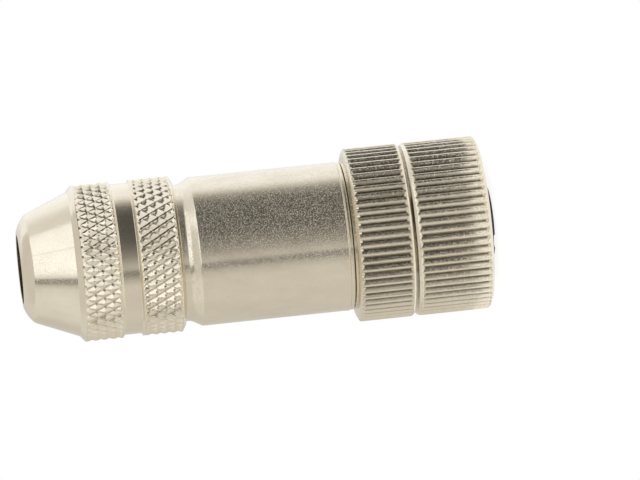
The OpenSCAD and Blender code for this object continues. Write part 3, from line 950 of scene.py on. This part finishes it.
@dataclass(frozen=True)
class PressureNut:
    """The gland's nut: two diamond-knurled bands, a plain groove, a cone and a rounded nose."""

    reach: Reach
    radius: float = 9.00 * MM
    mouth_r: float = 7.98 * MM
    lead: float = 0.33 * MM
    lead_drop: float = 0.62 * MM
    front_band_high: float = 41.12 * MM
    rear_band_low: float = 43.62 * MM
    rear_band_high: float = 47.80 * MM
    edge: float = 0.26 * MM
    groove_r: float = 8.69 * MM
    cone_low: float = 48.40 * MM
    cone_high: float = 53.50 * MM
    cone_front_r: float = 8.35 * MM
    cone_rear_r: float = 6.22 * MM
    shoulder_r: float = 5.35 * MM
    shoulder_z: float = 54.18 * MM
    nose_r: float = 4.45 * MM
    nose_drop: float = 0.20 * MM
    cable_r: float = 4.00 * MM
    seat_z: float = 48.6 * MM
    seat_r: float = 6.875 * MM
    inner_cone_r: float = 6.00 * MM
    thread_high: float = 44.2 * MM
    thread_major_r: float = 7.50 * MM
    thread_minor_r: float = 6.91 * MM

    def shell(self) -> Mesh:
        """Returns the nut's shell, without its thread."""
        low, high, edge = self.reach.low, self.reach.high - self.nose_drop, self.edge
        front = DiamondKnurl(self.radius, depth=0.34 * MM, other_depth=0.20 * MM)
        rear = DiamondKnurl(self.radius)
        lathe = Lathe(front.angles())
        lathe.profile([
            (self.mouth_r, low + 0.05 * MM, 0),
            (self.mouth_r + 0.05 * MM, low, 0.04 * MM),
            (self.radius - self.lead_drop, low, 0.05 * MM),
            (self.radius - 0.08 * MM, low + self.lead, 0.10 * MM),
            (self.radius, low + self.lead + 0.08 * MM, 0),
        ], 3)
        front.band(lathe, low + self.lead + 0.10 * MM, self.front_band_high)
        lathe.profile([
            (self.radius, self.front_band_high + 0.02 * MM, 0),
            (self.radius, self.front_band_high + 0.07 * MM, 0.04 * MM),
            (self.groove_r, self.front_band_high + edge, 0.07 * MM),
            (self.groove_r, self.rear_band_low - edge, 0.07 * MM),
            (self.radius, self.rear_band_low - 0.07 * MM, 0.04 * MM),
            (self.radius, self.rear_band_low - 0.02 * MM, 0),
        ], 3)
        rear.band(lathe, self.rear_band_low, self.rear_band_high)
        lathe.profile([
            (self.radius, self.rear_band_high + 0.02 * MM, 0),
            (self.radius, self.rear_band_high + 0.07 * MM, 0.06 * MM),
            (self.radius - 0.34 * MM, self.rear_band_high + 0.40 * MM, 0.08 * MM),
            (self.cone_front_r + 0.03 * MM, self.cone_low, 0.05 * MM),
            (self.cone_front_r - 0.04 * MM, self.cone_low + 0.08 * MM, 0.03 * MM),
            (self.cone_rear_r, self.cone_high, 0.30 * MM),
            (self.shoulder_r, self.shoulder_z, 0.35 * MM),
            (self.nose_r, high, 0.12 * MM),
            (self.cable_r + 0.05 * MM, high, 0),
        ], 5)
        lathe.ring(self.cable_r, high - 0.04 * MM, 0.0)
        lathe.ring(self.cable_r, high - 1.50 * MM, 0.0)
        lathe.profile([
            (self.cable_r, high - 1.55 * MM, 0),
            (self.cable_r, self.cone_high - 0.6 * MM, 0.2 * MM),
            (self.inner_cone_r, self.seat_z, 0.08 * MM),
            (self.seat_r, self.seat_z, 0.05 * MM),
            (self.seat_r, self.thread_high, 0.1 * MM),
            (self.thread_major_r, self.thread_high, 0.1 * MM),
            (self.thread_major_r, low + 0.3 * MM, 0.1 * MM),
            (self.mouth_r - 0.10 * MM, low + 0.10 * MM, 0.05 * MM),
            (self.mouth_r - 0.02 * MM, low + 0.06 * MM, 0),
        ], 5)
        return lathe.mesh("pressure_nut_shell", math.radians(24))

    def thread(self) -> Mesh:
        """Returns the ridge that meets the sleeve's tail, half a pitch from its thread."""
        start = self.reach.low + 1.3 * MM
        ridge = ThreadRidge(self.thread_major_r, self.thread_minor_r, start, self.thread_high - 0.5 * MM)
        return ridge.mesh("gland_thread")

    def build(self, dresser: Dresser) -> None:
        """Puts the nut in the scene."""
        dresser.piece(self.shell(), "gland_nickel", Body.GLAND, "pressure_nut")
        dresser.piece(self.thread(), "gland_nickel", Body.GLAND)


# ---------- studio ----------


@dataclass(frozen=True)
class View:
    """The camera's place, seen from the point that it looks at.

    Attributes:
        distance: From the camera to the axis.
        azimuth: Round the axis, from +X.
        elevation: Above the floor.
        roll: How far the axis dips in the frame, so that the connector lies across it.
        width: Horizontal angle of view.
        aim_z: Height of the point looked at.
        aim_up: How far that point lies from the axis, towards the frame's top edge.
    """

    distance: float = 0.800
    azimuth: float = math.radians(308)
    elevation: float = math.radians(5.2)
    roll: float = math.radians(5.95)
    width: float = math.radians(5.276)
    aim_z: float = 19.8 * MM
    aim_up: float = -0.17 * MM

    @property
    def towards(self) -> Vector:
        """The way from the connector to the camera."""
        level = math.cos(self.elevation)
        x, y = level * math.cos(self.azimuth), level * math.sin(self.azimuth)
        return Vector((x, y, math.sin(self.elevation)))

    @property
    def across(self) -> Vector:
        """The way across the axis that points up in the frame."""
        return Vector((-math.sin(self.azimuth), math.cos(self.azimuth), 0))

    def place(self) -> None:
        """Puts the camera in the scene."""
        along = self.towards.cross(self.across)
        tilt, lie = math.sin(self.roll), math.cos(self.roll)
        right = -along * lie - self.across * tilt
        up = self.across * lie - along * tilt
        aim = Vector((0, 0, self.aim_z)) + self.across * self.aim_up
        spot = aim + self.towards * self.distance
        data = bpy.data.cameras.new("camera")
        data.lens = data.sensor_width / 2 / math.tan(self.width / 2)
        data.clip_start = 0.01
        camera = placed("camera", data)
        turned = Matrix((right, up, self.towards)).transposed().to_4x4()
        camera.matrix_world = Matrix.Translation(spot) @ turned
        bpy.context.scene.camera = camera


@dataclass(frozen=True)
class Studio:
    """A small white floor and a round tent whose glow differs with the angle.

    Attributes:
        view: Where the camera stands.
        tent_r: Radius of the tent.
        tent_low: Height of its open foot.
        tent_high: Height of its flat cap.
        tent_mid: Height of its middle over the point looked at.
        side_part: Rise, in radii, up to which the glow is that of the sides.
        side_fade: Rise over which it passes to that of the part above or below.
        cap_glow: Glow of the cap.
        floor_half: How far the floor reaches from the axis.
        floor_drop: How far it lies below the mating face.
        floor_tone: Grey of its matt surface.
        floor_glow: Its glow, for camera, glossy and transmission rays.
        floor_share: Share of that glow in what they see.
        white: Strength of the white world.
    """

    view: View
    tent_r: float = 0.40
    tent_low: float = -0.40
    tent_high: float = 0.45
    tent_mid: float = 0.015
    side_part: float = 0.34
    side_fade: float = 0.14
    cap_glow: float = 0.70
    floor_half: float = 0.03
    floor_drop: float = 0.02 * MM
    floor_tone: float = 0.93
    floor_glow: float = 1.13
    floor_share: float = 0.80
    white: float = 1.0

    # Glow of the sides: angle from the camera in degrees, rising towards the frame's top, and glow
    GLOWS = (
        (-180, 0.66), (-140, 0.64), (-94, 0.69), (-60, 0.69), (-47, 0.69), (-40, 0.64), (-32, 0.48),
        (-26, 0.25), (-21, 0.28), (-17, 0.56), (-12, 0.54), (-6, 0.40), (2, 0.28), (12, 0.195),
        (25, 0.12), (45, 0.10), (66, 0.10), (76, 0.125), (84, 0.20), (91, 0.38), (97, 0.66),
        (104, 0.93), (113, 1.08), (150, 1.10), (166, 0.97), (180, 0.66),
    )
    # The same for the part above, which the cone reflects
    HIGH_GLOWS = (
        (-180, 0.70), (-150, 0.73), (-110, 0.79), (-75, 0.84), (-50, 0.78), (-42, 0.60), (-37, 0.28),
        (-29, 0.30), (-25, 0.85), (-16, 1.18), (-8, 1.28), (10, 1.26), (28, 1.20), (31, 1.00),
        (34, 1.22), (74, 1.16), (82, 0.82), (100, 0.80), (118, 0.97), (150, 1.06), (180, 0.70),
    )
    # Least glow of the part below: angles, and the glow at each
    LOW_GLOWS = ((-60, 0, 40), (0.76, 0.95, 1.05))
    # Tint of a dim and of a bright part, and the glow at which it passes from one to the other
    CREAM: Colour = (1.0, 0.975, 0.93)
    CLEAR: Colour = (1.0, 1.02, 1.06)
    TINTED = (0.7, 1.0)

    def level(self, turn: float, height: float) -> float:
        """Returns the glow of the tent's wall.

        Args:
            turn: Angle from the camera.
            height: Height in the frame.
        """
        angle = math.degrees(turn)
        level = float(np.interp(angle, *zip(*self.GLOWS)))
        rise = (height - self.view.aim_z - self.tent_mid) / self.tent_r
        side = 1 - float(np.clip((abs(rise) - self.side_part) / self.side_fade, 0, 1))
        if rise > 0:
            return level * side + float(np.interp(angle, *zip(*self.HIGH_GLOWS))) * (1 - side)
        return level * side + max(level, float(np.interp(angle, *self.LOW_GLOWS))) * (1 - side)

    def tinted(self, level: float) -> list[float]:
        """Returns the colour of a glow: cream where it is dim, and clear where it is bright."""
        dim, bright = self.TINTED
        clear = float(np.clip((level - dim) / (bright - dim), 0, 1))
        return [level * (a + (b - a) * clear) for a, b in zip(self.CREAM, self.CLEAR)] + [1.0]

    def tent(self) -> bpy.types.Object:
        """Returns the tent, which only lights and reflects."""
        angles = np.radians(np.arange(-180, 180, 1.0))
        heights = np.linspace(self.tent_low, self.tent_high, 43)
        wall = [(self.tent_r, z) for z in heights]
        cap = [(self.tent_r * share, heights[-1]) for share in (0.85, 0.6, 0.3, 0.02)]
        points, glows = [], []
        for radius, z in wall + cap:
            for turn in angles:
                around = turn + self.view.azimuth
                points.append((radius * math.cos(around), radius * math.sin(around), z))
                glows.append(self.tinted(self.level(turn, z) if radius == self.tent_r else self.cap_glow))
        mesh = bpy.data.meshes.new("tent")
        faces = [[a, d, c, b] for a, b, c, d in strip(len(wall + cap) - 1, len(angles))]
        mesh.from_pydata(points, [], faces)
        colours = mesh.attributes.new("glow", "FLOAT_COLOR", "POINT")
        colours.data.foreach_set("color", np.array(glows, np.float32).ravel())
        board = Board("tent")
        glow = board.node("ShaderNodeAttribute", attribute_name="glow").outputs["Color"]
        mesh.materials.append(board.stage(board.fed("ShaderNodeEmission", glow)))
        tent = placed("tent", mesh)
        tent.visible_camera = False
        tent.visible_shadow = False
        return tent

    def floor(self) -> bpy.types.Object:
        """Returns the floor, which is white, keeps the connector's shadow and is clear from below."""
        mesh = bpy.data.meshes.new("floor")
        half, z = self.floor_half, -self.floor_drop
        mesh.from_pydata([(-half, -half, z), (half, -half, z), (half, half, z), (-half, half, z)], [],
                         [[0, 1, 2, 3]])
        board = Board("floor")
        path = board.node("ShaderNodeLightPath")
        seen = path.outputs["Is Camera Ray"]
        for ray in ("Is Glossy Ray", "Is Transmission Ray"):
            seen = board.fed("ShaderNodeMath", seen, path.outputs[ray], operation="MAXIMUM")
        matt = board.fed("ShaderNodeBsdfDiffuse", (*[self.floor_tone] * 3, 1))
        glow = board.fed("ShaderNodeEmission", (1, 1, 1, 1), self.floor_glow)
        above = board.fed("ShaderNodeMixShader", board.product(seen, self.floor_share), matt, glow)
        below = board.node("ShaderNodeNewGeometry").outputs["Backfacing"]
        clear = board.fed("ShaderNodeBsdfTransparent")
        mesh.materials.append(board.stage(board.fed("ShaderNodeMixShader", below, above, clear)))
        return placed("floor", mesh)

    def build(self) -> None:
        """Lights the scene and stages the floor and the tent."""
        world = bpy.data.worlds.new("white")
        world.use_nodes = True
        background = world.node_tree.nodes["Background"]
        background.inputs["Color"].default_value = (1, 1, 1, 1)
        background.inputs["Strength"].default_value = self.white
        bpy.context.scene.world = world
        bpy.context.scene.view_settings.view_transform = "Standard"
        self.tent()
        self.floor()


def main() -> None:
    """Builds the connector's pieces, then the studio and the camera."""
    logging.basicConfig(level=logging.INFO, format="%(message)s")
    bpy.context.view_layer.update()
    dresser = Dresser()
    nut = Reach.of("coupling_nut")
    CouplingNut(nut).build(dresser)
    HeadRing(Reach.of("head_ring"), nut.high + 0.3 * MM).build(dresser)
    Sleeve(Reach.of("sleeve")).build(dresser)
    PressureNut(Reach.of("pressure_nut")).build(dresser)
    dresser.carry_over({"coupling_nut", "head_ring", "sleeve", "pressure_nut"})
    view = View()
    Studio(view).build()
    view.place()


if __name__ == "__main__":
    main()
